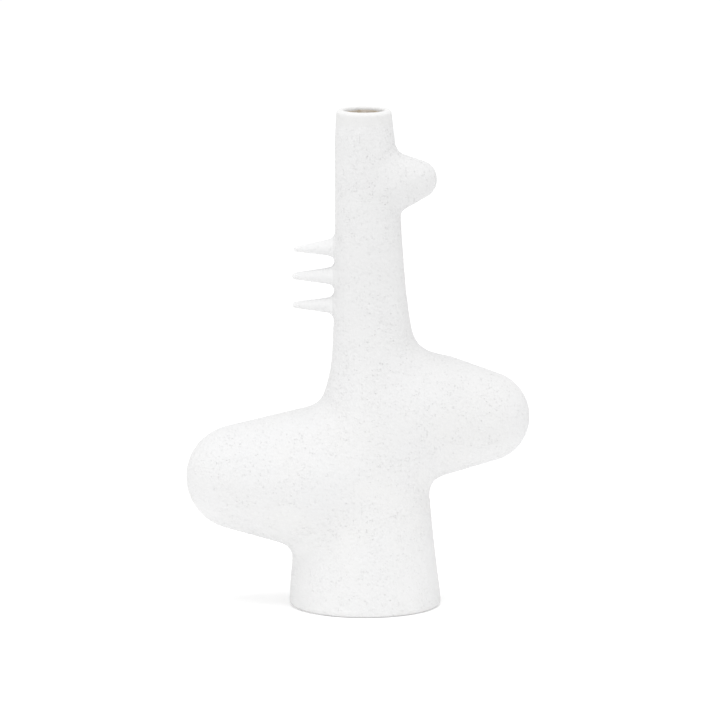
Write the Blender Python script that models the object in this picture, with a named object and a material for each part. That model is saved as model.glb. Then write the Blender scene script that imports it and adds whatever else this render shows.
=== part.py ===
"""Ceramic bud vase, 330 mm tall: a tapered trunk with two hollow lobes, a small hollow nose,
three thin spikes and a round mouth, all of white stoneware about 4 mm thick.

The pieces are the clay sections that such a vase is built from. Neighbouring sections meet at
flat joint faces with a slip joint between them. The whole outside is one smooth form: a trunk of
round sections, with each limb melted into it. Every section takes its surface from that form.

Frame: metres, +Z up, +X towards the nose, -Y the front. The origin is on the surface that the
vase stands on, at the middle of its foot.
"""
import math
from typing import NamedTuple

import bmesh
import bpy
import numpy as np
from mathutils import Vector

# Driving dimensions, metres
HEIGHT = 0.330
WALL = 0.0040
SLIP_JOINT = 0.0003
FOOT_SLAB = 0.0050
FOOT_EDGE_RADIUS = 0.0042
FOOT_JOINT_Z = 0.0300
BELLY_JOINT_Z = 0.1050
NECK_JOINT_Z = 0.1780
LIP_JOINT_Z = 0.3200
LIP_OUTER_RADIUS = 0.0023
LIP_INNER_RADIUS = 0.0015
GLAZE = 0.0005
GLAZE_LOW_Z = 0.1860
GLAZE_TOP_Z = 0.3270

# The trunk's left and right sides at a few heights: (z, left x, right x)
TRUNK_SIDES = np.array(
    [
        (0.000, -0.0500, 0.0502),
        (0.028, -0.0480, 0.0471),
        (0.072, -0.0380, 0.0424),
        (0.120, -0.0325, 0.0395),
        (0.160, -0.0224, 0.0350),
        (0.180, -0.0211, 0.0313),
        (0.208, -0.0202, 0.0270),
        (0.240, -0.0198, 0.0244),
        (0.275, -0.0197, 0.0224),
        (0.308, -0.0197, 0.0195),
        (HEIGHT, -0.0187, 0.0170),
    ]
)


class Limb(NamedTuple):
    """A round-ended cone that grows out of the trunk. Points are (x, z) in the plane y = 0."""

    tip: tuple  # centre of the round end
    tip_radius: float
    root: tuple
    root_radius: float
    depth: float  # front to back size as a share of its height
    fillet_low: float  # how far the melted corner reaches, under the limb
    fillet_high: float  # and over it


LEFT_LOBE = Limb((-0.0833, 0.0850), 0.0345, (-0.0330, 0.0840), 0.0472, 0.95, 0.0120, 0.0125)
RIGHT_LOBE = Limb((0.0782, 0.1255), 0.0299, (0.0470, 0.1264), 0.0396, 0.92, 0.0160, 0.0220)
NOSE = Limb((0.0344, 0.2828), 0.0128, (0.0160, 0.2810), 0.0202, 0.95, 0.0040, 0.0065)
SPIKE_ROOT_X = -0.0170
SPIKE_STUB = 0.0060  # how far a spike is carried on inwards before the neck's shape is cut from it
SPIKE_STAND_OFF = 0.0007
SPIKES = {
    "spike_upper": Limb((-0.0448, 0.2368), 0.0019, (SPIKE_ROOT_X, 0.2382), 0.0064, 1.0, 0.005, 0.005),
    "spike_middle": Limb((-0.0458, 0.2189), 0.0022, (SPIKE_ROOT_X, 0.2191), 0.0063, 1.0, 0.005, 0.005),
    "spike_lower": Limb((-0.0455, 0.1997), 0.0022, (SPIKE_ROOT_X, 0.1995), 0.0060, 1.0, 0.005, 0.005),
}

# Each joint face of a limb is a plane square to y = 0, through a low and a high point (x, z)
LEFT_LOBE_JOINT = ((-0.0505, 0.0360), (-0.0300, 0.1370))
RIGHT_LOBE_JOINT = ((0.0450, 0.0800), (0.0400, 0.1700))
NOSE_JOINT = ((0.0255, 0.2620), (0.0225, 0.3020))

# Fineness of the meshes
TRUNK_SEGMENTS = 36
LOBE_SEGMENTS = 32
NOSE_SEGMENTS = 20
SPIKE_SEGMENTS = 16
LOBE_RINGS = 13
LOBE_BORE_RINGS = 11
NOSE_RINGS = 9
NOSE_BORE_RINGS = 7
NOSE_PORT_RINGS = 9
SPIKE_RINGS = 10
OUTER_EDGE_RINGS = 6
INNER_EDGE_RINGS = 5
SHARP_ANGLE = math.radians(40)
FOOT_WALL_STEP = 0.0080
BELLY_STEP = 0.0073
NECK_STEP = 0.0130
NOSE_PORT_STEP = 0.0040
UPPER_NECK_STEP = 0.0060
BORE_STEP = 0.0200
SEARCH_STEPS = 64
HALVINGS = 26

# How far a loop is carried past a port's joint face, before the port is cut
OUTER_SPARE = 0.0060
INNER_SPARE = 0.0030
NOSE_PORT_MARGIN = 0.0060

# The cutters: how deep they are, and the heights between which they cut
CUTTER_LENGTH = 0.1500
CUTTER_HALF_DEPTH = 0.0800
LOBE_PORT_CUT_Z = (-0.0100, 0.2000)
NOSE_PORT_CUT_Z = (0.2500, 0.3150)
NOSE_PORT_END_X = 0.0100

WHITE_STONEWARE = (0.83, 0.83, 0.82, 1.0)
GREY_WHITE_STONEWARE = (0.76, 0.75, 0.73, 1.0)
BEIGE_GLAZE = (0.52, 0.45, 0.35, 1.0)


# The form

def curve_through(stations, column, z):
    """A smooth curve through one column of the stations, read at heights z."""
    heights = stations[:, 0]
    values = stations[:, column]
    slopes = np.gradient(values, heights)
    z = np.clip(z, heights[0], heights[-1])
    low = np.clip(np.searchsorted(heights, z, side="right") - 1, 0, len(heights) - 2)
    span = heights[low + 1] - heights[low]
    t = (z - heights[low]) / span
    start = (1 + 2 * t) * (1 - t) ** 2 * values[low] + t * (1 - t) ** 2 * span * slopes[low]
    end = t**2 * (3 - 2 * t) * values[low + 1] - t**2 * (1 - t) * span * slopes[low + 1]
    return start + end


def trunk_centre_and_radius(z):
    left = curve_through(TRUNK_SIDES, 1, z)
    right = curve_through(TRUNK_SIDES, 2, z)
    return (left + right) / 2, (right - left) / 2


def trunk_distance(points):
    """How far points are outside the trunk's side wall; negative inside."""
    centre, radius = trunk_centre_and_radius(points[..., 2])
    return np.hypot(points[..., 0] - centre, points[..., 1]) - radius


def limb_distance(points, limb):
    """How far points are outside a limb's round-ended cone; negative inside."""
    tip = np.array((limb.tip[0], 0.0, limb.tip[1]))
    root = np.array((limb.root[0], 0.0, limb.root[1]))
    length = np.linalg.norm(root - tip)
    axis = (root - tip) / length
    along = (points - tip) @ axis
    across = points - tip - along[..., None] * axis
    around = np.sqrt(across[..., 0] ** 2 + (across[..., 1] / limb.depth) ** 2 + across[..., 2] ** 2)
    lean = (limb.tip_radius - limb.root_radius) / length
    upright = math.sqrt(1 - lean**2)
    place = along * upright - around * lean
    by_tip = np.hypot(around, along) - limb.tip_radius
    by_root = np.hypot(around, along - length) - limb.root_radius
    by_side = around * upright + along * lean - limb.tip_radius
    return np.where(place < 0, by_tip, np.where(place > upright * length, by_root, by_side))


def melted(a, b, reach):
    """The union of two distances, with a soft fillet where they meet."""
    overlap = np.maximum(reach - np.abs(a - b), 0) / reach
    return np.minimum(a, b) - overlap**2 * reach / 4


def form(points, limbs, inset=0.0):
    """How far points are outside the trunk and the limbs, each drawn in by inset."""
    distance = trunk_distance(points) + inset
    for limb in limbs:
        up = (points[..., 2] - limb.tip[1]) / limb.tip_radius
        share = np.clip((up + 1) / 2, 0, 1)
        reach = limb.fillet_low + (limb.fillet_high - limb.fillet_low) * share**2 * (3 - 2 * share)
        distance = melted(distance, limb_distance(points, limb) + inset, reach)
    return distance


# Loops of points on the form's surface

class JointFace(NamedTuple):
    """A flat joint: a point on it, its direction up, and its normal, pointing away from the trunk."""

    point: np.ndarray
    up: np.ndarray
    normal: np.ndarray


def joint_face(low_and_high, away, clearance=0.0):
    """The plane through a low and a high point (x, z), moved by clearance towards away (+1 or -1 in X)."""
    low = np.array((low_and_high[0][0], 0.0, low_and_high[0][1]))
    high = np.array((low_and_high[1][0], 0.0, low_and_high[1][1]))
    up = (high - low) / np.linalg.norm(high - low)
    normal = np.array((up[2], 0.0, -up[0])) * away
    return JointFace((low + high) / 2 + normal * clearance, up, normal)


def reach_surface(centres, directions, distance, furthest):
    """How far along each direction the surface lies, by stepping out and then halving the interval."""
    steps = np.linspace(0, furthest, SEARCH_STEPS)
    samples = centres[:, None] + steps[None, :, None] * directions[:, None]
    outside = distance(samples) > 0
    first = np.where(outside.any(axis=1), outside.argmax(axis=1), SEARCH_STEPS - 1)
    near = steps[np.maximum(first - 1, 0)]
    far = steps[first]
    for _ in range(HALVINGS):
        middle = (near + far) / 2
        beyond = distance(centres + middle[:, None] * directions) > 0
        far = np.where(beyond, middle, far)
        near = np.where(beyond, near, middle)
    return (near + far) / 2


def angles(segments):
    return np.arange(segments) * 2 * math.pi / segments


def trunk_loop(z, limbs=(), inset=0.0, faces=(), spare=0.0):
    """A level loop round the trunk. It stops a little past any joint face, where the limb is cut off."""
    turn = angles(TRUNK_SEGMENTS)
    directions = np.stack([np.cos(turn), np.sin(turn), np.zeros_like(turn)], axis=1)
    middle, radius = trunk_centre_and_radius(np.array(z))
    if not limbs:
        return np.array((middle, 0.0, z)) + directions * (radius - inset)
    centres = np.tile(np.array((middle, 0.0, z)), (TRUNK_SEGMENTS, 1))
    reach = reach_surface(centres, directions, lambda p: form(p, limbs, inset), 3 * radius)
    for face in faces:
        facing = directions @ face.normal
        to_face = (face.point + face.normal * spare - centres[0]) @ face.normal
        limit = np.where(facing > 1e-6, to_face / np.maximum(facing, 1e-6), np.inf)
        reach = np.minimum(reach, limit)
    return centres + directions * reach[:, None]


def limb_stations(limb, face, count, inset=0.0):
    """Centres and up directions of loops from near the tip of a limb to its joint face.

    They follow the limb's axis, close together round the tip, and lean over by degrees until the
    last one lies in the joint face.
    """
    tip = np.array((limb.tip[0], 0.0, limb.tip[1]))
    root = np.array((limb.root[0], 0.0, limb.root[1]))
    axis = (root - tip) / np.linalg.norm(root - tip)
    to_face = ((face.point - tip) @ face.normal) / (axis @ face.normal)
    start = -(limb.tip_radius - inset)
    stations = []
    for i in range(1, count + 1):
        share = 1 - math.cos(i / count * math.pi / 2)
        along = start + (to_face - start) * share
        up = face.up * share + np.array((0.0, 0.0, 1.0)) * (1 - share)
        stations.append((tip + axis * along, up / np.linalg.norm(up)))
    return tip + axis * start, stations


def limb_loops(limb, face, distance, count, segments, inset=0.0):
    """The end point and the loops of a limb's surface, from its tip to its joint face."""
    pole, stations = limb_stations(limb, face, count, inset)
    turn = angles(segments)
    loops = []
    for centre, up in stations:
        directions = np.cos(turn)[:, None] * up + np.sin(turn)[:, None] * np.array((0.0, 1.0, 0.0))
        centres = np.tile(centre, (segments, 1))
        reach = reach_surface(centres, directions, distance, 2.5 * limb.root_radius)
        loops.append(centres + directions * reach[:, None])
    return pole, loops


# Solids

def solid_from_loops(name, loops, first_pole=None, last_pole=None):
    """A closed solid: loops joined one to the next. Its ends are poles, or join each other."""
    mesh = bmesh.new()
    rows = [[mesh.verts.new(Vector(p)) for p in loop] for loop in loops]
    count = len(rows[0])
    pairs = list(zip(rows, rows[1:]))
    if first_pole is None and last_pole is None:
        pairs.append((rows[-1], rows[0]))
    for row, following in pairs:
        for i in range(count):
            j = (i + 1) % count
            mesh.faces.new((row[i], row[j], following[j], following[i]))
    for pole, row in ((first_pole, rows[0]), (last_pole, rows[-1])):
        if pole is None:
            continue
        end = mesh.verts.new(Vector(pole))
        for i in range(count):
            mesh.faces.new((end, row[(i + 1) % count], row[i]))
    bmesh.ops.recalc_face_normals(mesh, faces=mesh.faces)
    data = bpy.data.meshes.new(name)
    mesh.to_mesh(data)
    mesh.free()
    data.shade_smooth()
    data.set_sharp_from_angle(angle=SHARP_ANGLE)
    solid = bpy.data.objects.new(name, data)
    bpy.context.scene.collection.objects.link(solid)
    return solid


def cut(solid, cutter):
    modifier = solid.modifiers.new(f"cut by {cutter.name}", "BOOLEAN")
    modifier.operation = "DIFFERENCE"
    modifier.solver = "EXACT"
    modifier.object = cutter


def as_cutter(solid):
    solid.hide_render = True
    solid.display_type = "WIRE"
    return solid


def block_beyond(name, face, low_and_high_z):
    """A cutter that holds everything on the far side of a joint face, between two heights."""
    corners = []
    for z in low_and_high_z:
        along = (z - face.point[2]) / face.up[2]
        near = face.point + face.up * along
        far = near + np.array((math.copysign(CUTTER_LENGTH, face.normal[0]), 0.0, 0.0))
        corners.append((near, far))
    loops = []
    for y in (-CUTTER_HALF_DEPTH, CUTTER_HALF_DEPTH):
        side = np.array((0.0, y, 0.0))
        (near_low, far_low), (near_high, far_high) = corners
        loops.append([near_low + side, far_low + side, far_high + side, near_high + side])
    mesh = bmesh.new()
    rows = [[mesh.verts.new(Vector(p)) for p in loop] for loop in loops]
    for i in range(4):
        j = (i + 1) % 4
        mesh.faces.new((rows[0][i], rows[0][j], rows[1][j], rows[1][i]))
    mesh.faces.new(rows[0][::-1])
    mesh.faces.new(rows[1])
    bmesh.ops.recalc_face_normals(mesh, faces=mesh.faces)
    data = bpy.data.meshes.new(name)
    mesh.to_mesh(data)
    mesh.free()
    block = bpy.data.objects.new(name, data)
    bpy.context.scene.collection.objects.link(block)
    return as_cutter(block)


def heights(low, high, spacing):
    return np.linspace(low, high, max(2, round((high - low) / spacing) + 1))


# Materials

def finish(name, colour, roughness):
    material = bpy.data.materials.new(name)
    material.use_nodes = True
    shader = material.node_tree.nodes["Principled BSDF"]
    shader.inputs["Base Color"].default_value = colour
    shader.inputs["Roughness"].default_value = roughness
    shader.inputs["Metallic"].default_value = 0.0
    material.diffuse_color = colour
    return material


# The pieces

def foot_slab():
    """The round slab that the vase stands on, with its lower edge rounded."""
    middle, _ = trunk_centre_and_radius(np.array(0.0))
    loops = []
    for turn in np.linspace(0, math.pi / 2, OUTER_EDGE_RINGS):
        z = FOOT_EDGE_RADIUS * (1 - math.cos(turn))
        loops.append(trunk_loop(z, inset=FOOT_EDGE_RADIUS * (1 - math.sin(turn))))
    top = FOOT_SLAB - SLIP_JOINT / 2
    loops.append(trunk_loop(top))
    return solid_from_loops("foot_slab", loops, (middle, 0.0, 0.0), (middle, 0.0, top))


def foot_wall():
    """The cone under the belly."""
    low = FOOT_SLAB + SLIP_JOINT / 2
    high = FOOT_JOINT_Z - SLIP_JOINT / 2
    levels = heights(low, high, FOOT_WALL_STEP)
    outer = [trunk_loop(z) for z in levels]
    inner = [trunk_loop(z, inset=WALL) for z in levels[::-1]]
    return solid_from_loops("foot_wall", outer + inner)


def trunk_with_ports(name, low_joint, high_joint):
    """A section of the trunk between two level joints, with its part of the port for each lobe."""
    low = low_joint + SLIP_JOINT / 2
    high = high_joint - SLIP_JOINT / 2
    levels = heights(low, high, BELLY_STEP)
    lobes = (LEFT_LOBE, RIGHT_LOBE)
    left = joint_face(LEFT_LOBE_JOINT, -1, -SLIP_JOINT / 2)
    right = joint_face(RIGHT_LOBE_JOINT, 1, -SLIP_JOINT / 2)
    outer = [trunk_loop(z, lobes, 0.0, (left, right), OUTER_SPARE) for z in levels]
    inner = [trunk_loop(z, lobes, WALL, (left, right), INNER_SPARE) for z in levels[::-1]]
    solid = solid_from_loops(name, outer + inner)
    cut(solid, block_beyond(f"beyond_left_port_of_{name}", left, LOBE_PORT_CUT_Z))
    cut(solid, block_beyond(f"beyond_right_port_of_{name}", right, LOBE_PORT_CUT_Z))
    return solid


def lobe(name, limb, low_and_high, away):
    """A hollow dome, open where it meets the belly."""
    face = joint_face(low_and_high, away, SLIP_JOINT / 2)
    lobes = (LEFT_LOBE, RIGHT_LOBE)
    pole, outer = limb_loops(limb, face, lambda p: form(p, lobes), LOBE_RINGS, LOBE_SEGMENTS)
    inner_pole, inner = limb_loops(
        limb, face, lambda p: form(p, lobes, WALL), LOBE_BORE_RINGS, LOBE_SEGMENTS, WALL
    )
    return solid_from_loops(name, outer + inner[::-1], pole, inner_pole)


def nose_hollow():
    """The space inside the nose, carried on through the neck's wall into the bore."""
    (_, low_z), (_, high_z) = NOSE_JOINT
    through_wall = joint_face(((NOSE_PORT_END_X, low_z), (NOSE_PORT_END_X, high_z)), 1)
    pole, loops = limb_loops(
        NOSE, through_wall, lambda p: limb_distance(p, NOSE) + WALL, NOSE_PORT_RINGS, NOSE_SEGMENTS, WALL
    )
    end = loops[-1].mean(axis=0)
    return as_cutter(solid_from_loops("nose_hollow", loops, pole, end))


def neck(port):
    """The tall tapered tube, with a port for the nose."""
    low = NECK_JOINT_Z + SLIP_JOINT / 2
    high = LIP_JOINT_Z - SLIP_JOINT / 2
    port_low = NOSE_JOINT[0][1] - NOSE_PORT_MARGIN
    port_high = NOSE_JOINT[1][1] + NOSE_PORT_MARGIN
    below_nose = heights(low, port_low, NECK_STEP)
    beside_nose = heights(port_low, port_high, NOSE_PORT_STEP)
    above_nose = heights(port_high, high, UPPER_NECK_STEP)
    levels = np.concatenate([below_nose, beside_nose[1:], above_nose[1:]])
    face = joint_face(NOSE_JOINT, 1, -SLIP_JOINT / 2)
    outer = [trunk_loop(z, (NOSE,), 0.0, (face,), INNER_SPARE) for z in levels]
    inner = [trunk_loop(z, inset=WALL) for z in heights(low, high, BORE_STEP)[::-1]]
    solid = solid_from_loops("neck", outer + inner)
    cut(solid, block_beyond("beyond_nose_port", face, NOSE_PORT_CUT_Z))
    cut(solid, port)
    return solid


def nose():
    """The small hollow knob near the top of the neck."""
    face = joint_face(NOSE_JOINT, 1, SLIP_JOINT / 2)
    pole, outer = limb_loops(NOSE, face, lambda p: form(p, (NOSE,)), NOSE_RINGS, NOSE_SEGMENTS)
    inner_pole, inner = limb_loops(
        NOSE, face, lambda p: limb_distance(p, NOSE) + WALL, NOSE_BORE_RINGS, NOSE_SEGMENTS, WALL
    )
    return solid_from_loops("nose", outer + inner[::-1], pole, inner_pole)


def lip():
    """The coil that finishes the mouth, rounded over its top."""
    low = LIP_JOINT_Z + SLIP_JOINT / 2
    profile = [(0.0, low), (0.0, (low + HEIGHT - LIP_OUTER_RADIUS) / 2)]
    for turn in np.linspace(0, math.pi / 2, OUTER_EDGE_RINGS):
        inset = LIP_OUTER_RADIUS * (1 - math.cos(turn))
        profile.append((inset, HEIGHT - LIP_OUTER_RADIUS * (1 - math.sin(turn))))
    for turn in np.linspace(math.pi / 2, 0, INNER_EDGE_RINGS):
        inset = WALL - LIP_INNER_RADIUS * (1 - math.cos(turn))
        profile.append((inset, HEIGHT - LIP_INNER_RADIUS * (1 - math.sin(turn))))
    profile.append((WALL, low))
    return solid_from_loops("lip", [trunk_loop(z, inset=inset) for inset, z in profile])


def spike(name, limb, neck_with_clearance):
    """A thin solid spike, flared where it is pressed onto the neck."""
    surface_x = trunk_centre_and_radius(np.array(limb.root[1]))
    root_x = surface_x[0] - surface_x[1] - SPIKE_STAND_OFF
    face = joint_face(((root_x, limb.root[1] - 0.01), (root_x, limb.root[1] + 0.01)), -1)
    pole, loops = limb_loops(limb, face, lambda p: form(p, (limb,)), SPIKE_RINGS, SPIKE_SEGMENTS)
    stub = loops[-1] + np.array((SPIKE_STUB, 0.0, 0.0))
    solid = solid_from_loops(name, loops + [stub], pole, stub.mean(axis=0))
    cut(solid, neck_with_clearance)
    return solid


def neck_with_clearance():
    """The neck's outside and a slip joint's thickness more, which shapes the spikes' roots."""
    low = GLAZE_LOW_Z
    high = NOSE_JOINT[0][1]
    loops = [trunk_loop(z, inset=-SLIP_JOINT) for z in heights(low, high, BORE_STEP / 2)]
    ends = [(trunk_centre_and_radius(np.array(z))[0], 0.0, z) for z in (low, high)]
    return as_cutter(solid_from_loops("neck_with_clearance", loops, ends[0], ends[1]))


def glaze_lining(port):
    """The glaze that was poured through the mouth, a thin skin on the bore of the neck and lip."""
    levels = heights(GLAZE_LOW_Z, GLAZE_TOP_Z, BORE_STEP)
    outer = [trunk_loop(z, inset=WALL + SLIP_JOINT) for z in levels]
    inner = [trunk_loop(z, inset=WALL + SLIP_JOINT + GLAZE) for z in levels[::-1]]
    solid = solid_from_loops("glaze_lining", outer + inner)
    cut(solid, port)
    return solid


def main():
    for thing in list(bpy.data.objects):
        bpy.data.objects.remove(thing, do_unlink=True)

    white = (WHITE_STONEWARE, 0.85)
    port = nose_hollow()
    clearance = neck_with_clearance()
    pieces = [
        (foot_slab(), (GREY_WHITE_STONEWARE, 0.9)),
        (foot_wall(), white),
        (trunk_with_ports("belly", FOOT_JOINT_Z, BELLY_JOINT_Z), white),
        (trunk_with_ports("shoulder", BELLY_JOINT_Z, NECK_JOINT_Z), white),
        (lobe("left_lobe", LEFT_LOBE, LEFT_LOBE_JOINT, -1), white),
        (lobe("right_lobe", RIGHT_LOBE, RIGHT_LOBE_JOINT, 1), white),
        (neck(port), white),
        (nose(), white),
        (lip(), (WHITE_STONEWARE, 0.7)),
        (glaze_lining(port), (BEIGE_GLAZE, 0.15)),
    ]
    for name, limb in SPIKES.items():
        pieces.append((spike(name, limb, clearance), white))
    for solid, (colour, roughness) in pieces:
        solid.data.materials.append(finish(f"{solid.name}_finish", colour, roughness))


main()
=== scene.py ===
"""The looks of the ceramic bud vase: a fine, sandy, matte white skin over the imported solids.

The outside and the hollow inside are one smooth form, worked out as a distance: negative in the
clay, positive in the air. It is meshed finely, given its sandy grain in the mesh itself, and cut
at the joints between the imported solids, so each piece stands for one of them and no seam shows.
"""

import math
from typing import NamedTuple

import bmesh
import bpy
import numpy as np
from mathutils import Euler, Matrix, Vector, noise


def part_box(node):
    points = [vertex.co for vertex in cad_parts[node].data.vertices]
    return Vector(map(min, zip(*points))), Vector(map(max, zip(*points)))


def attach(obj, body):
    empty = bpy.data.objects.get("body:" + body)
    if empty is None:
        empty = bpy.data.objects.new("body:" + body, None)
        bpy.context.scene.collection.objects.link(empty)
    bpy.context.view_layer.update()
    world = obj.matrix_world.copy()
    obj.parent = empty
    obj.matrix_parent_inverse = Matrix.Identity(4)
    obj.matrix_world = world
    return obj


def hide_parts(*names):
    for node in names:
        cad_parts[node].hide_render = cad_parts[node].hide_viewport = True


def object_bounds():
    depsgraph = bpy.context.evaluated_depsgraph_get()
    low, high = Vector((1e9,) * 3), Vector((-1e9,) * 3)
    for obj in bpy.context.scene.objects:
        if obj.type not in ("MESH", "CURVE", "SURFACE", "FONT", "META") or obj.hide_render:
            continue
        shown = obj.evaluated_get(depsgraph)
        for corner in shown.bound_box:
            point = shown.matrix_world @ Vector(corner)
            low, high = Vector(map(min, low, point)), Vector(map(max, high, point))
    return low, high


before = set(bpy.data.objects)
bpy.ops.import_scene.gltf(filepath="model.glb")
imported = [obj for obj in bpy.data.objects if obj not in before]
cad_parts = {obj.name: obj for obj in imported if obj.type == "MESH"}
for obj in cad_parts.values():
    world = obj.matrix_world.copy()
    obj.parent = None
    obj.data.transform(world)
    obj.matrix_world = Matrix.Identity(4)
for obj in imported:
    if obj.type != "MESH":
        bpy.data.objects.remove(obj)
cad_low, cad_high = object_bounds()

MM = 0.001

# The joints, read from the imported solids
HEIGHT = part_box("lip")[1].z
SLAB_JOINT_Z = (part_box("foot_slab")[1].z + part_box("foot_wall")[0].z) / 2
FOOT_JOINT_Z = (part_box("foot_wall")[1].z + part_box("belly")[0].z) / 2
BELLY_JOINT_Z = (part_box("belly")[1].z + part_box("shoulder")[0].z) / 2
NECK_JOINT_Z = (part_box("shoulder")[1].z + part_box("neck")[0].z) / 2
LIP_JOINT_Z = (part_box("neck")[1].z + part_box("lip")[0].z) / 2
LEFT_TIP_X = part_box("left_lobe")[0].x
RIGHT_TIP_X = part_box("right_lobe")[1].x
NOSE_TIP_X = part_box("nose")[1].x

# The clay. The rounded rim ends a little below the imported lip's top.
RIM_Z = HEIGHT - 0.9 * MM
WALL = 4.0 * MM
LIP_SWELL = 1.2 * MM
LIP_SWELL_Z = (RIM_Z - 16 * MM, RIM_Z - 4 * MM)
FOOT_EDGE_RADIUS = 3.0 * MM
LIP_OUTER_RADIUS = 2.3 * MM
LIP_INNER_RADIUS = 2.2 * MM
FLOOR_Z = SLAB_JOINT_Z - 0.6 * MM
HOLLOW_CORNER = 3.0 * MM

# Fineness: the inside is left at this spacing, and the outside is halved. The spacing stays below
# WALL / sqrt(3), or a cell of the grid could bridge the wall.
SPACING = 1.5 * MM
MARGIN_CELLS = 3
EVENING_ROUNDS = 5
SKIN_REACH = 0.5 * MM

# The trunk's left and right sides at a few heights: (z, left x, right x)
TRUNK_SIDES = np.array(
    [
        (0.000, -0.0500, 0.0502),
        (0.028, -0.0480, 0.0471),
        (0.072, -0.0380, 0.0424),
        (0.120, -0.0325, 0.0395),
        (0.160, -0.0224, 0.0350),
        (0.180, -0.0211, 0.0313),
        (0.208, -0.0202, 0.0270),
        (0.240, -0.0198, 0.0244),
        (0.275, -0.0197, 0.0224),
        (0.308, -0.0197, 0.0195),
        (0.330, -0.0187, 0.0170),
    ]
)


class Limb(NamedTuple):
    """A round-ended cone that grows out of the trunk. Points are (x, z) in the plane y = 0."""

    tip: tuple
    tip_radius: float
    root: tuple
    root_radius: float
    depth: float
    fillet_low: float
    fillet_high: float


LEFT_LOBE = Limb(
    tip=(LEFT_TIP_X + 0.0345, 0.0850),
    tip_radius=0.0345,
    root=(-0.0330, 0.0840),
    root_radius=0.0472,
    depth=0.95,
    fillet_low=0.0120,
    fillet_high=0.0125,
)
RIGHT_LOBE = Limb(
    tip=(RIGHT_TIP_X - 0.0299, 0.1255),
    tip_radius=0.0299,
    root=(0.0470, 0.1264),
    root_radius=0.0396,
    depth=0.92,
    fillet_low=0.0160,
    fillet_high=0.0220,
)
NOSE = Limb(
    tip=(NOSE_TIP_X - 0.0128, 0.2828),
    tip_radius=0.0128,
    root=(0.0160, 0.2810),
    root_radius=0.0202,
    depth=0.95,
    fillet_low=0.0040,
    fillet_high=0.0065,
)

# The spikes: their tip and root heights, and their tip and root radii
SPIKE_SIZES = {
    "spike_upper": (0.2368, 0.2382, 0.0019, 0.0064),
    "spike_middle": (0.2189, 0.2191, 0.0022, 0.0063),
    "spike_lower": (0.1997, 0.1995, 0.0022, 0.0060),
}
SPIKE_ROOT_X = -0.0170
SPIKE_FILLET = 0.005


def spike(name):
    tip_z, root_z, tip_radius, root_radius = SPIKE_SIZES[name]
    return Limb(
        tip=(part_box(name)[0].x + tip_radius, tip_z),
        tip_radius=tip_radius,
        root=(SPIKE_ROOT_X, root_z),
        root_radius=root_radius,
        depth=1.0,
        fillet_low=SPIKE_FILLET,
        fillet_high=SPIKE_FILLET,
    )


HOLLOW_LIMBS = (LEFT_LOBE, RIGHT_LOBE, NOSE)
ALL_LIMBS = HOLLOW_LIMBS + tuple(spike(name) for name in SPIKE_SIZES)

# The joint faces of the limbs: planes square to y = 0 through a low and a high point (x, z), and
# the side that the limb is on
LIMB_JOINTS = {
    "left_lobe": ((-0.0505, 0.0360), (-0.0300, 0.1370), -1),
    "right_lobe": ((0.0450, 0.0800), (0.0400, 0.1700), 1),
    "nose": ((0.0255, 0.2620), (0.0225, 0.3020), 1),
    "spike_upper": ((-0.0212, 0.2285), (-0.0212, 0.2500), -1),
    "spike_middle": ((-0.0212, 0.2098), (-0.0212, 0.2282), -1),
    "spike_lower": ((-0.0216, 0.1880), (-0.0216, 0.2094), -1),
}

# The level joints, from the ground up, and the pieces between them. A cut that passes this close to
# a point of the mesh goes through the point.
LEVEL_JOINTS = (SLAB_JOINT_Z, FOOT_JOINT_Z, BELLY_JOINT_Z, NECK_JOINT_Z, LIP_JOINT_Z)
LEVEL_PIECES = ("foot_slab", "foot_wall", "belly", "shoulder", "neck", "lip")
SNAP = 0.06 * MM

# The sandy skin: the size of each feature, and how far it stands proud or is sunk. It is rougher in
# some patches than in others, and more of the pits are there.
SWELL_SIZE = 34 * MM
SWELL_DEPTH = 0.25 * MM
PATCH_SIZE = 15 * MM
PATCH_CONTRAST = 2.5
ROUGH_MEAN = 0.62
ROUGH_RANGE = 0.38
CRUST_SIZE = 2.3 * MM
CRUST_DEPTH = 0.17 * MM
CRUST_FLOOR = 0.35
CRUST_FALLOFF = 0.8
CRUST_STEP = 2.1
CRUST_OCTAVES = 3
PIT_SPACING = 2.9 * MM
PIT_RADIUS = 1.0 * MM
PIT_DEPTH = 0.22 * MM
PIT_SHARE = (0.25, 0.55)
PIT_REACH = (0.55, 0.6)
PIT_SEED = 17.3
GRAIN_TURN = Euler((0.61, 1.13, 0.37)).to_matrix()
LEAST_SHARE = 0.001
SMOOTH_FOOT_Z = (0.5 * MM, 4 * MM)
SMOOTH_LIP_Z = (LIP_JOINT_Z - 4 * MM, LIP_JOINT_Z + 5 * MM)
LIP_GRAIN = 0.22

# Points of neighbouring pieces that are closer than this are the same point
SAME_POINT = 0.5 * MM / 1000

# The glaze on the bore: its top edge waves and thins out, its back lies just inside the clay, and
# its thickness varies as it runs
GLAZE_LOW_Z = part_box("glaze_lining")[0].z
GLAZE_TOP_Z = RIM_Z - 2.2 * MM
GLAZE = 0.45 * MM
GLAZE_WAVE = 0.5 * MM
GLAZE_WAVE_SCALE = 1.7
GLAZE_EDGE = 24
GLAZE_BEDDED = 0.05 * MM
GLAZE_RUN = (0.8, 0.4)
GLAZE_RUN_SCALE = (3, 25)
GLAZE_TURNS = 128
GLAZE_LEVELS = 40
GLAZE_SHARP_ANGLE = 50


class Stoneware(NamedTuple):
    """One finish of the clay: its white, and how much of the grain, the painted shade and dirt in
    its pits and holes, and the scuffs it shows.
    """

    name: str
    white: tuple
    grain_depth: float
    pit_shade_and_dirt_amount: float
    worn_foot: float


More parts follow.
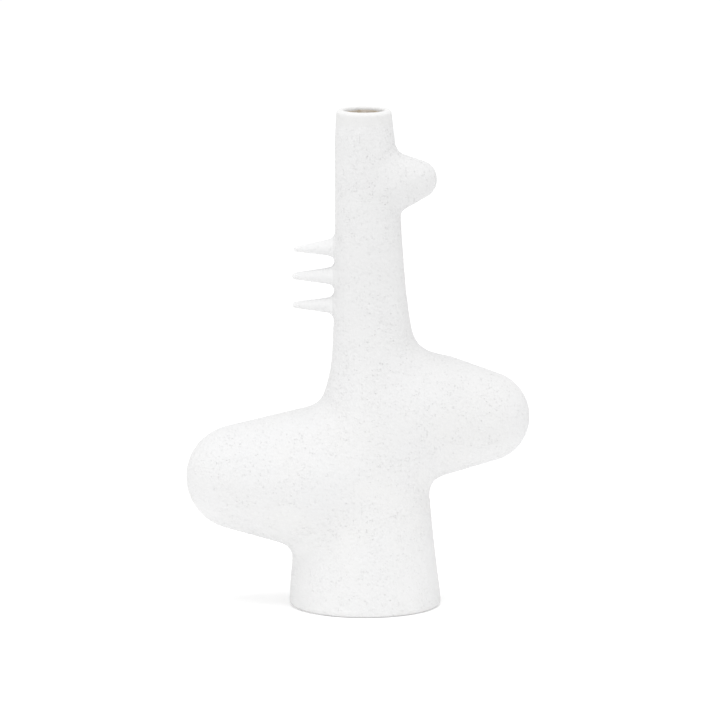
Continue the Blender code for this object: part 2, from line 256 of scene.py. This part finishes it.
BODY = Stoneware("white_stoneware", (0.7135, 0.713, 0.7145), 1.0, 0.25, 0.0)
FOOT = Stoneware("foot_stoneware", (0.7145, 0.714, 0.715), 1.0, 0.25, 0.05)
LIP = Stoneware("lip_stoneware", (0.696, 0.695, 0.693), 0.35, 0.1, 0.0)
# The spikes' white is painted paler than the body's, as painted light; their grain is also finer
SPIKE_PAINTED_LIGHT = Stoneware("spike_stoneware_painted_light", (0.764, 0.764, 0.766), 0.6, 0.15, 0.0)
FINISHES = {"foot_slab": FOOT, "lip": LIP, **{name: SPIKE_PAINTED_LIGHT for name in SPIKE_SIZES}}

# The stoneware's tints, as shares of its white, and the heights between which they come or go
WARM = (1.0, 0.998, 0.994)
COOL = (0.998, 0.999, 1.002)
# Painted shade: the upper trunk and the neck are painted greyer than the foot
UPPER_PAINTED_SHADE = (0.945, 0.945, 0.945)
UPPER_PAINTED_SHADE_Z = (0.08, 0.22)
# Painted light: the white is painted paler towards the foot, and a painted highlight makes it paler
# at the rim's top
PAINTED_LIGHT_PALER = (1.025, 1.025, 1.025)
FOOT_PAINTED_LIGHT_Z = (2 * MM, 60 * MM)
RIM_PAINTED_HIGHLIGHT_Z = (RIM_Z - 3.5 * MM, RIM_Z - 0.5 * MM)
SHADOW = (0.99, 0.99, 0.99)
# Painted shade and dirt: the pits and holes are painted darker and warmer
PIT_SHADE_AND_DIRT = (0.80, 0.785, 0.76)
PIT_SHADE_AND_DIRT_SHARE = 0.2
HOLE_SHADE_AND_DIRT_SHARE = (0.1, 0.25)
SCUFF = (0.70, 0.66, 0.59, 1)
SCUFF_Z = (0.5 * MM, 6 * MM)

# The sizes of what is in the stoneware's texture, and the depths of its relief
BROAD_SIZE = 45 * MM
DENSE_SIZE = 16 * MM
MOTTLE_SIZE = 7 * MM
SAND_SIZE = 0.9 * MM
SHEEN_SIZE = 2.4 * MM
FINE_SIZE = 0.75 * MM
FINE_DEPTH = 0.10 * MM
COARSE_SIZE = 2.1 * MM
COARSE_DEPTH = 0.82 * MM
HOLE_SPACING = 1.7 * MM
HOLE_EDGE = (0.16, 0.34)
HOLE_SHARE = (0.45, 0.6)
HOLE_DEPTH = 0.22 * MM

# The glaze's colours
GLAZE_PALE = (0.80, 0.74, 0.67, 1)
GLAZE_THICK = (0.66, 0.57, 0.44, 1)
GLAZE_CLOUD = (0.86, 0.82, 0.76, 1)
GLAZE_SPECK = (0.40, 0.30, 0.18, 1)

# The floor: a plain sheet that glows a little, since the photo's ground is pure white
FLOOR_HALF = 40.0
FLOOR_COLOURS = (0.930, 0.930, 0.930, 1), (0.940, 0.940, 0.938, 1)
FLOOR_GLOW = 0.13


class Lamp(NamedTuple):
    """A round, soft lamp that points at the vase."""

    name: str
    place: tuple
    size: float
    power: float


# The light: a white room and four lamps
ROOM_LIGHT = 0.905
LAMPS = (
    Lamp("overhead", (-0.08, -0.5, 2.6), 2.2, 28.5),
    Lamp("front", (0, -3.0, 1.1), 2.0, 5.0),
    Lamp("left_fill", (-2.4, -0.5, 0.5), 1.4, 5.4),
    Lamp("right_fill", (2.4, -0.5, 0.7), 1.4, 3.0),
)

CAMERA_TARGET = (-3.35 * MM, 0, 163 * MM)
CAMERA_DISTANCE = 16 * HEIGHT
CAMERA_ELEVATION = 9.9
CAMERA_LENS = 402.0
CAMERA_SENSOR = 36.0


# The form

def curve_through(stations, column, z):
    """A smooth curve through one column of the stations, read at heights z."""
    heights = stations[:, 0]
    values = stations[:, column]
    slopes = np.gradient(values, heights)
    z = np.clip(z, heights[0], heights[-1])
    low = np.clip(np.searchsorted(heights, z, side="right") - 1, 0, len(heights) - 2)
    span = heights[low + 1] - heights[low]
    t = (z - heights[low]) / span
    start = (1 + 2 * t) * (1 - t) ** 2 * values[low] + t * (1 - t) ** 2 * span * slopes[low]
    end = t**2 * (3 - 2 * t) * values[low + 1] - t**2 * (1 - t) * span * slopes[low + 1]
    return start + end


def trunk_centre_and_radius(z):
    left = curve_through(TRUNK_SIDES, 1, z)
    right = curve_through(TRUNK_SIDES, 2, z)
    return (left + right) / 2, (right - left) / 2


def trunk_distance(points):
    centre, radius = trunk_centre_and_radius(points[..., 2])
    return np.hypot(points[..., 0] - centre, points[..., 1]) - radius


def limb_distance(points, limb):
    """How far points are outside a limb's round-ended cone; negative inside."""
    tip = np.array((limb.tip[0], 0.0, limb.tip[1]))
    root = np.array((limb.root[0], 0.0, limb.root[1]))
    length = np.linalg.norm(root - tip)
    axis = (root - tip) / length
    along = (points - tip) @ axis
    across = points - tip - along[..., None] * axis
    around = np.sqrt(across[..., 0] ** 2 + (across[..., 1] / limb.depth) ** 2 + across[..., 2] ** 2)
    lean = (limb.tip_radius - limb.root_radius) / length
    upright = math.sqrt(1 - lean**2)
    place = along * upright - around * lean
    by_tip = np.hypot(around, along) - limb.tip_radius
    by_root = np.hypot(around, along - length) - limb.root_radius
    by_side = around * upright + along * lean - limb.tip_radius
    return np.where(place < 0, by_tip, np.where(place > upright * length, by_root, by_side))


def melted(a, b, reach):
    """The union of two distances, with a soft fillet where they meet."""
    overlap = np.maximum(reach - np.abs(a - b), 0) / reach
    return np.minimum(a, b) - overlap**2 * reach / 4


def shared(a, b, radius):
    """What two distances have in common, with the edge where they meet rounded."""
    a = a + radius
    b = b + radius
    return np.minimum(np.maximum(a, b), 0) + np.hypot(np.maximum(a, 0), np.maximum(b, 0)) - radius


def ease(value, low, high):
    share = np.clip((value - low) / (high - low), 0, 1)
    return share**2 * (3 - 2 * share)


def form(points, limbs, inset=0.0):
    """The trunk's sides and the limbs, each drawn in by inset."""
    distance = trunk_distance(points) + inset
    for limb in limbs:
        low = limb.tip[1] - limb.tip_radius
        high = limb.tip[1] + limb.tip_radius
        rise = ease(points[..., 2], low, high)
        reach = limb.fillet_low + (limb.fillet_high - limb.fillet_low) * rise
        distance = melted(distance, limb_distance(points, limb) + inset, reach)
    return distance


def outside(points):
    """The vase as if it were filled in, with its foot's and its lip's outer edges rounded."""
    distance = shared(form(points, ALL_LIMBS), -points[..., 2], FOOT_EDGE_RADIUS)
    return shared(distance, points[..., 2] - RIM_Z, LIP_OUTER_RADIUS)


def wall_at(z):
    """The wall's thickness, a little more at the lip, where it is finished with a coil."""
    return WALL + LIP_SWELL * ease(z, *LIP_SWELL_Z)


def hollow(points):
    """The space inside, open at the top."""
    z = points[..., 2]
    return shared(form(points, HOLLOW_LIMBS, wall_at(z)), FLOOR_Z - z, HOLLOW_CORNER)


def clay(points):
    return shared(outside(points), -hollow(points), LIP_INNER_RADIUS)


# Meshing

def surface_net(distance, low, high, spacing):
    """A closed mesh of quads where distance is zero: a point in each grid cell that it crosses."""
    counts = np.ceil((high - low) / spacing).astype(int) + 1
    axes = [low[a] + spacing * np.arange(counts[a]) for a in range(3)]
    values = np.empty(counts)
    for i, x in enumerate(axes[0]):
        slab = np.stack(np.meshgrid([x], axes[1], axes[2], indexing="ij"), axis=-1)
        values[i] = distance(slab)[0]
    cells = tuple(counts - 1)
    total = np.zeros(cells + (3,))
    hits = np.zeros(cells)
    quads = []
    for a in range(3):
        b, c = (a + 1) % 3, (a + 2) % 3
        first = np.take(values, range(counts[a] - 1), axis=a)
        second = np.take(values, range(1, counts[a]), axis=a)
        crossed = (first < 0) != (second < 0)
        index = np.argwhere(crossed)
        before, after = first[crossed], second[crossed]
        point = low + spacing * index
        point[:, a] += spacing * before / (before - after)
        corners = []
        for step_b, step_c in ((0, 0), (1, 0), (1, 1), (0, 1)):
            cell = index.copy()
            cell[:, b] -= step_b
            cell[:, c] -= step_c
            place = tuple(cell.T)
            np.add.at(total, place, point)
            np.add.at(hits, place, 1)
            corners.append(np.ravel_multi_index(place, cells))
        quad = np.stack(corners, axis=1)
        quads.append(np.where((before < 0)[:, None], quad, quad[:, ::-1]))
    quads = np.concatenate(quads)
    used, faces = np.unique(quads, return_inverse=True)
    points = total.reshape(-1, 3)[used] / hits.reshape(-1)[used, None]
    return points, faces.reshape(quads.shape)


def slope(distance, points, step=0.05 * MM):
    """The gradient of a distance."""
    parts = []
    for a in range(3):
        shift = np.zeros(3)
        shift[a] = step
        parts.append((distance(points + shift) - distance(points - shift)) / (2 * step))
    return np.stack(parts, axis=-1)


def settle(distance, points, rounds):
    """Moves points straight onto the surface."""
    for _ in range(rounds):
        gradient = slope(distance, points)
        steepness = np.maximum((gradient**2).sum(axis=1), 0.1)
        points = points - (distance(points) / steepness)[:, None] * gradient
    return points


def coordinates(mesh):
    points = np.empty(len(mesh.vertices) * 3)
    mesh.vertices.foreach_get("co", points)
    return points.reshape(-1, 3)


def as_mesh(name, points, faces):
    mesh = bpy.data.meshes.new(name)
    mesh.from_pydata(points, [], faces)
    return mesh


def evened(distance, points, quads, rounds):
    """Spaces the points of a closed mesh evenly over the surface."""
    ends = np.stack([quads, np.roll(quads, -1, axis=1)], axis=-1).reshape(-1, 2)
    count = np.bincount(ends[:, 0], minlength=len(points))
    for _ in range(rounds):
        sums = [np.bincount(ends[:, 0], points[ends[:, 1], a], len(points)) for a in range(3)]
        around = np.stack(sums, axis=1) / count[:, None]
        points = settle(distance, (points + around) / 2, 1)
    return points


def halved(points, quads, chosen):
    """Splits the quads whose four corners are all chosen into four, and fits their neighbours."""
    ends = np.sort(np.stack([quads, np.roll(quads, -1, axis=1)], axis=-1), axis=-1)
    edges, edge_of = np.unique(ends.reshape(-1, 2), axis=0, return_inverse=True)
    edge_of = edge_of.reshape(quads.shape)
    split = chosen[edges].all(axis=1)
    middle_of = np.where(split, len(points) + np.cumsum(split) - 1, -1)
    whole = split[edge_of].all(axis=1)
    middles = points[edges[split]].mean(axis=1)
    centres = points[quads[whole]].mean(axis=1)
    centre_of = len(points) + len(middles) + np.arange(len(centres))
    corners, sides = quads[whole], middle_of[edge_of[whole]]
    small = [
        np.stack([corners[:, i], sides[:, i], centre_of, sides[:, i - 1]], axis=1) for i in range(4)
    ]
    faces = np.concatenate(small).tolist()
    for quad, around in zip(quads[~whole], middle_of[edge_of[~whole]]):
        faces.append([int(v) for pair in zip(quad, around) for v in pair if v >= 0])
    return np.concatenate([points, middles, centres]), faces


def fine_clay():
    """The whole vase as one closed mesh, its outside twice as fine as its inside."""
    margin = MARGIN_CELLS * SPACING
    low = np.array(cad_low) - margin
    high = np.array(cad_high) + margin
    points, faces = surface_net(clay, low, high, SPACING)
    points = evened(clay, settle(clay, points, 1), faces, EVENING_ROUNDS)
    points, faces = halved(points, faces, np.abs(outside(points)) < SKIN_REACH)
    return as_mesh("clay", settle(clay, points, 2), faces)


# Grain

def grain(point):
    """How far the skin stands proud at a point, and how deep a pit is there, from 0 to 1."""
    point = GRAIN_TURN @ point
    patch = noise.noise(point / PATCH_SIZE)
    swell = noise.noise(point / SWELL_SIZE) * SWELL_DEPTH
    rough = ROUGH_MEAN + ROUGH_RANGE * max(-1.0, min(1.0, PATCH_CONTRAST * patch))
    crust = noise.fractal(point / CRUST_SIZE, CRUST_FALLOFF, CRUST_STEP, CRUST_OCTAVES)
    crust *= CRUST_DEPTH * (CRUST_FLOOR + rough)
    distances, places = noise.voronoi(point / PIT_SPACING)
    chance = (noise.cell(places[0] * PIT_SEED) + 1) / 2
    pit = 0.0
    if chance < PIT_SHARE[0] + PIT_SHARE[1] * rough:
        reach = PIT_RADIUS / PIT_SPACING * (PIT_REACH[0] + PIT_REACH[1] * chance)
        pit = max(0.0, 1 - (distances[0] / reach) ** 2)
    return swell + crust - pit * PIT_DEPTH, pit


def grain_share(points):
    """How much of the grain each point takes: none inside or underneath, a little on the lip."""
    z = points[:, 2]
    skin = 1 - ease(np.abs(outside(points)), 0.2 * MM, 1.2 * MM)
    lip = 1 - (1 - LIP_GRAIN) * ease(z, *SMOOTH_LIP_Z)
    return skin * ease(z, *SMOOTH_FOOT_Z) * lip


def with_grain(points):
    """The points with the grain applied, and the depth of the pit at each."""
    share = grain_share(points)
    away = slope(clay, points)
    away /= np.maximum(np.linalg.norm(away, axis=1), 1e-9)[:, None]
    proud = np.zeros(len(points))
    pits = np.zeros(len(points))
    for i in np.flatnonzero(share > LEAST_SHARE):
        proud[i], pits[i] = grain(Vector(points[i]))
    return points + away * (proud * share)[:, None], pits * share


# Pieces

def joint_plane(name):
    """A point of a limb's joint face, and its normal, pointing away from the trunk."""
    low, high, away = LIMB_JOINTS[name]
    up = Vector((high[0] - low[0], 0, high[1] - low[1])).normalized()
    middle = Vector(((low[0] + high[0]) / 2, 0, (low[1] + high[1]) / 2))
    return middle, Vector((up.z, 0, -up.x)) * away


def beside(name, centre):
    """Whether a point is at the height of a limb and on its side of the trunk."""
    low, high, away = LIMB_JOINTS[name]
    return low[1] < centre.z < high[1] and centre.x * away > 0


def close_cut(work, normal):
    """Fills the open cut in a mesh with flat faces, marked as a joint, that face along normal."""
    mark = work.faces.layers.int["joint"]
    rim = [e for e in work.edges if e.is_boundary]
    made = bmesh.ops.triangle_fill(work, use_beauty=True, use_dissolve=False, edges=rim)
    for face in made["geom"]:
        if isinstance(face, bmesh.types.BMFace):
            face[mark] = 1
            if face.normal.dot(normal) < 0:
                face.normal_flip()


def cut_off(work, middle, normal, near=None):
    """Cuts a closed mesh in two at a plane, where near holds. Returns what lies beyond it."""
    faces = [f for f in work.faces if near is None or near(f.calc_center_median())]
    edges = {e for f in faces for e in f.edges}
    verts = {v for f in faces for v in f.verts}
    bmesh.ops.bisect_plane(
        work,
        geom=[*verts, *edges, *faces],
        dist=SNAP,
        plane_co=middle,
        plane_no=normal,
        use_snap_center=True,
    )
    chosen = []
    for face in work.faces:
        centre = face.calc_center_median()
        chosen.append((centre - middle).dot(normal) > 0 and (near is None or near(centre)))
    piece = work.copy()
    left = [f for f, c in zip(piece.faces[:], chosen) if not c]
    taken = [f for f, c in zip(work.faces[:], chosen) if c]
    bmesh.ops.delete(piece, geom=left, context="FACES")
    bmesh.ops.delete(work, geom=taken, context="FACES")
    close_cut(piece, -normal)
    close_cut(work, normal)
    return piece


def clay_parts():
    """The clay cut into closed pieces at its joints: a bmesh for each."""
    mesh = fine_clay()
    work = bmesh.new()
    work.from_mesh(mesh)
    work.faces.layers.int.new("joint")
    parts = {}
    for name in LIMB_JOINTS:
        middle, normal = joint_plane(name)
        parts[name] = cut_off(work, middle, normal, lambda centre: beside(name, centre))
    for z, name in reversed(list(zip(LEVEL_JOINTS, LEVEL_PIECES[1:]))):
        parts[name] = cut_off(work, Vector((0, 0, z)), Vector((0, 0, 1)))
    parts[LEVEL_PIECES[0]] = work
    return parts


def as_arrays(work):
    """A bmesh as a mesh, with its points and with which of its faces are joints."""
    bmesh.ops.triangulate(work, faces=[f for f in work.faces if len(f.verts) > 4])
    mesh = bpy.data.meshes.new("clay")
    work.to_mesh(mesh)
    work.free()
    marks = np.zeros(len(mesh.polygons), int)
    mesh.attributes["joint"].data.foreach_get("value", marks)
    return mesh, coordinates(mesh), marks.astype(bool)


def grained_pieces():
    """The pieces as meshes with their grain. Their skins share their normals, so no joint shows."""
    meshes, places, marks = {}, {}, {}
    for name, work in clay_parts().items():
        meshes[name], places[name], marks[name] = as_arrays(work)
    everywhere = np.concatenate(list(places.values()))
    rounded = np.round(everywhere / SAME_POINT).astype(np.int64)
    _, first, shared_index = np.unique(rounded, axis=0, return_index=True, return_inverse=True)
    shared_index = shared_index.ravel()
    moved, pits = with_grain(everywhere[first])
    normals = np.zeros((len(first), 3))
    start = 0
    owns = {}
    for name, mesh in meshes.items():
        own = shared_index[start:start + len(places[name])]
        owns[name] = own
        start += len(own)
        mesh.vertices.foreach_set("co", moved[own].ravel())
        mesh.update()
        for polygon in mesh.polygons:
            if not marks[name][polygon.index]:
                weighted = np.array(polygon.normal) * polygon.area
                normals[own[list(polygon.vertices)]] += weighted
    normals /= np.maximum(np.linalg.norm(normals, axis=1), 1e-12)[:, None]
    for name, mesh in meshes.items():
        pit = mesh.attributes.new("pit", "FLOAT", "POINT")
        pit.data.foreach_set("value", pits[owns[name]])
        mesh.shade_smooth()
        corner_vertices = np.empty(len(mesh.loops), int)
        mesh.loops.foreach_get("vertex_index", corner_vertices)
        corner_normals = normals[owns[name][corner_vertices]]
        for index in np.flatnonzero(marks[name]):
            polygon = mesh.polygons[index]
            corner_normals[list(polygon.loop_indices)] = polygon.normal
        mesh.normals_split_custom_set(corner_normals.tolist())
    return meshes


def bore_radius(z):
    centre, radius = trunk_centre_and_radius(np.array(z))
    return float(centre), float(radius - wall_at(z))


def glaze_point(turn, share, on_wall):
    """A point of the glaze at a share of its height, on the wall or on the glaze's own surface."""
    angle = 2 * math.pi * turn / GLAZE_TURNS
    direction = Vector((math.cos(angle), math.sin(angle), 0))
    top = GLAZE_TOP_Z + GLAZE_WAVE * noise.noise(direction * GLAZE_WAVE_SCALE)
    z = GLAZE_LOW_Z + (top - GLAZE_LOW_Z) * share
    centre, radius = bore_radius(z)
    depth = -GLAZE_BEDDED
    if not on_wall:
        around, up = GLAZE_RUN_SCALE
        place = Vector((direction.x * around, direction.y * around, z * up))
        run = GLAZE_RUN[0] + GLAZE_RUN[1] * noise.noise(place)
        depth = GLAZE * run * math.sqrt(max(0.0, 1 - share**GLAZE_EDGE))
    return Vector((centre, 0, z)) + direction * (radius - depth)


def glaze_mesh():
    """The glaze on the bore: a thin skin that ends in an uneven line in the mouth."""
    up = [(level / (GLAZE_LEVELS - 1), True) for level in range(GLAZE_LEVELS)]
    down = [(level / (GLAZE_LEVELS - 1), False) for level in reversed(range(GLAZE_LEVELS))]
    loop = up + down
    points = [glaze_point(turn, *step) for turn in range(GLAZE_TURNS) for step in loop]
    faces = []
    for turn in range(GLAZE_TURNS):
        here = turn * len(loop)
        there = (turn + 1) % GLAZE_TURNS * len(loop)
        for step in range(len(loop)):
            after = (step + 1) % len(loop)
            faces.append((here + step, there + step, there + after, here + after))
    mesh = as_mesh("glaze_lining", points, faces)
    work = bmesh.new()
    work.from_mesh(mesh)
    bmesh.ops.recalc_face_normals(work, faces=work.faces)
    work.to_mesh(mesh)
    work.free()
    mesh.shade_smooth()
    mesh.set_sharp_from_angle(angle=math.radians(GLAZE_SHARP_ANGLE))
    return mesh


# Materials

MIX_FACTOR, MIX_A, MIX_B, MIX_RESULT = 0, 6, 7, 2


class Nodes:
    """A material's node tree, with short calls for the nodes that it is made of."""

    def __init__(self, name):
        self.material = bpy.data.materials.new(name)
        self.material.use_nodes = True
        self.tree = self.material.node_tree
        self.shader = self.tree.nodes["Principled BSDF"]
        self.place = self.tree.nodes.new("ShaderNodeTexCoord").outputs["Object"]

    def add(self, kind, inputs=None, **settings):
        node = self.tree.nodes.new(kind)
        for key, value in settings.items():
            setattr(node, key, value)
        for key, value in (inputs or {}).items():
            if isinstance(value, bpy.types.NodeSocket):
                self.tree.links.new(value, node.inputs[key])
            else:
                node.inputs[key].default_value = value
        return node

    def noise(self, size, detail=3.0, roughness=0.55, stretch=None):
        place = self.place
        if stretch:
            mapping = self.add("ShaderNodeMapping", {"Vector": place, "Scale": stretch})
            place = mapping.outputs["Vector"]
        inputs = {"Vector": place, "Scale": 1 / size, "Detail": detail, "Roughness": roughness}
        return self.add("ShaderNodeTexNoise", inputs).outputs["Fac"]

    def spread(self, value, low, high, to_low=0.0, to_high=1.0):
        inputs = {
            "Value": value,
            "From Min": low,
            "From Max": high,
            "To Min": to_low,
            "To Max": to_high,
        }
        node = self.add("ShaderNodeMapRange", inputs, interpolation_type="SMOOTHSTEP")
        return node.outputs["Result"]

    def product(self, a, b):
        node = self.add("ShaderNodeMath", {0: a, 1: b}, operation="MULTIPLY")
        return node.outputs["Value"]

    def tint(self, share, colour, over):
        """One colour laid over another. The mix node's colour sockets are known by number."""
        inputs = {MIX_FACTOR: share, MIX_A: colour, MIX_B: over}
        return self.add("ShaderNodeMix", inputs, data_type="RGBA").outputs[MIX_RESULT]

    def bump(self, height, distance, under=None):
        inputs = {"Height": height, "Distance": distance, "Strength": 1.0}
        if under is not None:
            inputs["Normal"] = under
        return self.add("ShaderNodeBump", inputs).outputs["Normal"]

    def shade(self, colour, roughness, normal):
        self.tree.links.new(colour, self.shader.inputs["Base Color"])
        self.tree.links.new(roughness, self.shader.inputs["Roughness"])
        self.tree.links.new(normal, self.shader.inputs["Normal"])
        return self.material


def tinted(white, tint):
    """A white with a tint over it, as the colour that a socket takes."""
    return tuple(w * t for w, t in zip(white, tint)) + (1,)


def stoneware(finish):
    """Matte white stoneware: a sandy grain, and sunk pits and small holes painted a little darker,
    as painted shade and dirt.
    """
    nodes = Nodes(finish.name)
    white, deep = finish.white, finish.grain_depth
    height = nodes.add("ShaderNodeSeparateXYZ", {"Vector": nodes.place}).outputs["Z"]
    pit = nodes.add("ShaderNodeAttribute", attribute_name="pit").outputs["Fac"]
    broad = nodes.noise(BROAD_SIZE, 2.0)
    mottle = nodes.noise(MOTTLE_SIZE, 4.0)
    sand = nodes.noise(SAND_SIZE, 4.0, 0.7)
    dense = nodes.spread(nodes.noise(DENSE_SIZE, 2.0), 0.35, 0.62, 0.55, 1.0)

    # Small round holes, in some of the cells of a pattern
    inputs = {"Vector": nodes.place, "Scale": 1 / HOLE_SPACING, "Randomness": 1.0}
    cells = nodes.add("ShaderNodeTexVoronoi", inputs)
    chance = nodes.add("ShaderNodeSeparateColor", {"Color": cells.outputs["Color"]}).outputs[0]
    near = nodes.spread(cells.outputs["Distance"], *HOLE_EDGE, 1.0, 0.0)
    hole = nodes.product(nodes.product(near, nodes.spread(chance, *HOLE_SHARE)), dense)

    # Each tint: where it lies, and how strong it is there
    between = nodes.product(nodes.spread(mottle, 0.45, 0.8), nodes.spread(sand, 0.3, 0.7))
    # Painted shade and dirt in the pits and holes, and how strong it is
    shade_and_dirt_in_pits = nodes.spread(pit, 0.1, 1.0, 0.0, PIT_SHADE_AND_DIRT_SHARE * finish.pit_shade_and_dirt_amount)
    strength = nodes.spread(sand, 0.2, 0.6, *(share * finish.pit_shade_and_dirt_amount for share in HOLE_SHADE_AND_DIRT_SHARE))
    shade_and_dirt_in_holes = nodes.product(hole, strength)
    low = nodes.spread(height, *SCUFF_Z, finish.worn_foot, 0.0)
    scuffed = nodes.product(low, nodes.spread(mottle, 0.35, 0.6))
    colour = tinted(white, WARM)
    for share, over in (
        (nodes.spread(broad, 0.35, 0.65), tinted(white, COOL)),
        # painted shade: greyer from the upper trunk up
        (nodes.spread(height, *UPPER_PAINTED_SHADE_Z), tinted(white, UPPER_PAINTED_SHADE)),
        # painted light: paler towards the foot
        (nodes.spread(height, *FOOT_PAINTED_LIGHT_Z, 1.0, 0.0), tinted(white, PAINTED_LIGHT_PALER)),
        # painted highlight: paler at the rim's top
        (nodes.spread(height, *RIM_PAINTED_HIGHLIGHT_Z), tinted(white, PAINTED_LIGHT_PALER)),
        (between, tinted(white, SHADOW)),
        # painted shade and dirt in the pits and holes
        (shade_and_dirt_in_pits, tinted(white, PIT_SHADE_AND_DIRT)),
        (shade_and_dirt_in_holes, tinted(white, PIT_SHADE_AND_DIRT)),
        (scuffed, SCUFF),
    ):
        colour = nodes.tint(share, colour, over)

    roughness = nodes.spread(nodes.noise(SHEEN_SIZE, 3.0), 0.3, 0.7, 0.80, 0.95)
    fine = nodes.bump(nodes.noise(FINE_SIZE, 3.0, 0.65), FINE_DEPTH * deep)
    lumps = nodes.product(nodes.noise(COARSE_SIZE, 2.5, 0.5), dense)
    coarse = nodes.bump(lumps, COARSE_DEPTH * deep, under=fine)
    sunk = nodes.bump(nodes.spread(hole, 0.0, 1.0, 1.0, 0.0), HOLE_DEPTH * deep, under=coarse)
    nodes.shader.inputs["Specular IOR Level"].default_value = 0.3
    return nodes.shade(colour, roughness, sunk)


def glaze():
    """Glossy beige glaze, browner where it has run thick."""
    nodes = Nodes("beige_glaze")
    run = nodes.noise(9 * MM, 3.0, 0.6, (1.0, 1.0, 0.25))
    cloud = nodes.noise(2.2 * MM, 3.0)
    speck = nodes.spread(nodes.noise(0.8 * MM, 2.0), 0.66, 0.74, 0.0, 0.7)
    colour = nodes.tint(nodes.spread(run, 0.42, 0.62), GLAZE_PALE, GLAZE_THICK)
    colour = nodes.tint(nodes.spread(cloud, 0.4, 0.7, 0.0, 0.5), colour, GLAZE_CLOUD)
    colour = nodes.tint(speck, colour, GLAZE_SPECK)
    roughness = nodes.spread(cloud, 0.3, 0.7, 0.10, 0.22)
    normal = nodes.bump(nodes.noise(3.5 * MM, 2.0), 0.20 * MM)
    nodes.shader.inputs["Coat Weight"].default_value = 0.4
    nodes.shader.inputs["Coat Roughness"].default_value = 0.08
    return nodes.shade(colour, roughness, normal)


def floor_paper():
    """The plain pale sheet that the vase stands on."""
    nodes = Nodes("floor_paper")
    cloud = nodes.noise(400 * MM, 2.0)
    colour = nodes.tint(nodes.spread(cloud, 0.3, 0.7), *FLOOR_COLOURS)
    roughness = nodes.spread(cloud, 0.3, 0.7, 0.90, 0.96)
    normal = nodes.bump(nodes.noise(1.5 * MM, 2.0), 0.01 * MM)
    nodes.shader.inputs["Specular IOR Level"].default_value = 0.0
    nodes.shader.inputs["Emission Color"].default_value = (1, 1, 1, 1)
    nodes.shader.inputs["Emission Strength"].default_value = FLOOR_GLOW
    return nodes.shade(colour, roughness, normal)


# The scene

def show(name, mesh, material):
    mesh.materials.append(material)
    piece = bpy.data.objects.new(f"{name}_clay" if name != "glaze_lining" else "glaze_skin", mesh)
    bpy.context.scene.collection.objects.link(piece)
    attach(piece, "root")
    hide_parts(name)


def make_floor():
    sides = (-1, -1), (1, -1), (1, 1), (-1, 1)
    corners = [(FLOOR_HALF * x, FLOOR_HALF * y, 0) for x, y in sides]
    floor = bpy.data.objects.new("floor", as_mesh("floor", corners, [(0, 1, 2, 3)]))
    floor.data.materials.append(floor_paper())
    bpy.context.scene.collection.objects.link(floor)


def aim(thing, target):
    thing.rotation_mode = "QUATERNION"
    thing.rotation_quaternion = (target - thing.location).to_track_quat("-Z", "Y")


def make_light(lamp):
    light = bpy.data.lights.new(lamp.name, "AREA")
    light.shape = "DISK"
    light.size = lamp.size
    light.energy = lamp.power
    thing = bpy.data.objects.new(lamp.name, light)
    thing.location = lamp.place
    aim(thing, Vector((0, 0, HEIGHT / 2)))
    bpy.context.scene.collection.objects.link(thing)


def make_room():
    world = bpy.data.worlds.new("studio")
    world.use_nodes = True
    background = world.node_tree.nodes["Background"]
    background.inputs["Color"].default_value = (1, 1, 1, 1)
    background.inputs["Strength"].default_value = ROOM_LIGHT
    bpy.context.scene.world = world
    bpy.context.scene.view_settings.view_transform = "Standard"


def make_camera():
    target = Vector(CAMERA_TARGET)
    elevation = math.radians(CAMERA_ELEVATION)
    camera = bpy.data.cameras.new("camera")
    camera.sensor_width = CAMERA_SENSOR
    camera.lens = CAMERA_LENS
    camera.clip_start = 0.1
    camera.clip_end = 200.0
    thing = bpy.data.objects.new("camera", camera)
    away = Vector((0, -math.cos(elevation), math.sin(elevation)))
    thing.location = target + CAMERA_DISTANCE * away
    aim(thing, target)
    bpy.context.scene.collection.objects.link(thing)
    bpy.context.scene.camera = thing


def main():
    clays = {finish: stoneware(finish) for finish in (BODY, FOOT, LIP, SPIKE_PAINTED_LIGHT)}
    for name, mesh in grained_pieces().items():
        mesh.name = name
        show(name, mesh, clays[FINISHES.get(name, BODY)])
    show("glaze_lining", glaze_mesh(), glaze())

    make_floor()
    for lamp in LAMPS:
        make_light(lamp)
    make_room()
    make_camera()


main()
